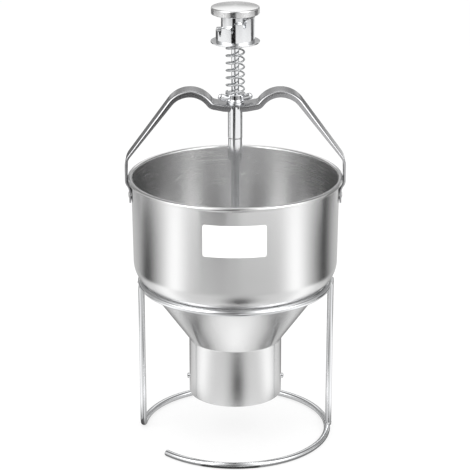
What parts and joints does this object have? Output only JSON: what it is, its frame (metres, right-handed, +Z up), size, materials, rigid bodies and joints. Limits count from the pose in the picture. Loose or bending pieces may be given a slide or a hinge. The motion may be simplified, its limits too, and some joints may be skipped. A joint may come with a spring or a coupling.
{
  "type": "batter dispenser",
  "caption": "Stainless steel batter dispenser with a funnel hopper, wire stand, strap handle, sprung plunger and a stepped cup that sets the portion",
  "frame": {"origin": "on the floor, on the hopper's axis", "axes": "+Z up along the plunger, +X to the right arm of the handle, the front faces -Y"},
  "size_m": [0.204, 0.2, 0.4179],
  "materials": {
    "polished_chrome": "polished, mirror-like",
    "brushed_stainless": "fine brushing round the axis",
    "satin_steel": "satin",
    "spring_wire": "bright drawn wire"
  },
  "bodies": {
    "stand": {"stand_top_ring": "polished_chrome", "stand_base_wire": "polished_chrome", "stand_leg_right": "polished_chrome"},
    "hopper": {"hopper_shell": "brushed_stainless", "nozzle": "brushed_stainless", "dosing_insert": "brushed_stainless", "nozzle_screw_left": "polished_chrome", "nozzle_nut_left": "polished_chrome", "nozzle_screw_right": "polished_chrome", "nozzle_nut_right": "polished_chrome", "handle_bracket": "brushed_stainless", "handle_rivet_left_front": "satin_steel", "handle_rivet_left_back": "satin_steel", "handle_rivet_right_front": "satin_steel", "handle_rivet_right_back": "satin_steel", "guide_tube": "polished_chrome", "clamp_washer": "polished_chrome", "wing_nut": "polished_chrome", "spring_seat": "polished_chrome", "return_spring": "spring_wire"},
    "plunger": {"plunger_rod": "polished_chrome", "stop_collar": "polished_chrome", "collar_screw": "satin_steel", "piston_disc": "brushed_stainless", "spool_spacer": "brushed_stainless", "cutter_disc": "brushed_stainless", "end_nut": "polished_chrome", "level_pin": "polished_chrome", "knob_sleeve": "polished_chrome", "push_knob": "satin_steel"},
    "thrust": {"thrust_washer": "polished_chrome"},
    "cup": {"level_cup": "polished_chrome"}
  },
  "joints": [
    {"name": "lift_off_stand", "type": "slide", "parent": "stand", "child": "hopper", "axis": [0, 0, 1], "range_m": [0, 0.13]},
    {"name": "plunger_press", "type": "slide", "parent": "hopper", "child": "plunger", "axis": [0, 0, -1], "range_m": [0, 0.022], "stiffness_N_per_m": 600, "springref_m": -0.02, "deforming": ["return_spring"]},
    {"name": "level_drop", "type": "slide", "parent": "plunger", "child": "thrust", "axis": [0, 0, -1], "range_m": [0, 0.0124]},
    {"name": "level_turn", "type": "hinge", "parent": "thrust", "child": "cup", "pos_m": [0, 0, 0.39], "axis": [0, 0, -1], "range_deg": [0, 120]}
  ],
  "couplings": [
    {"joint": "level_drop", "follows": "level_turn", "m_per_rad": 0.0058728}
  ]
}
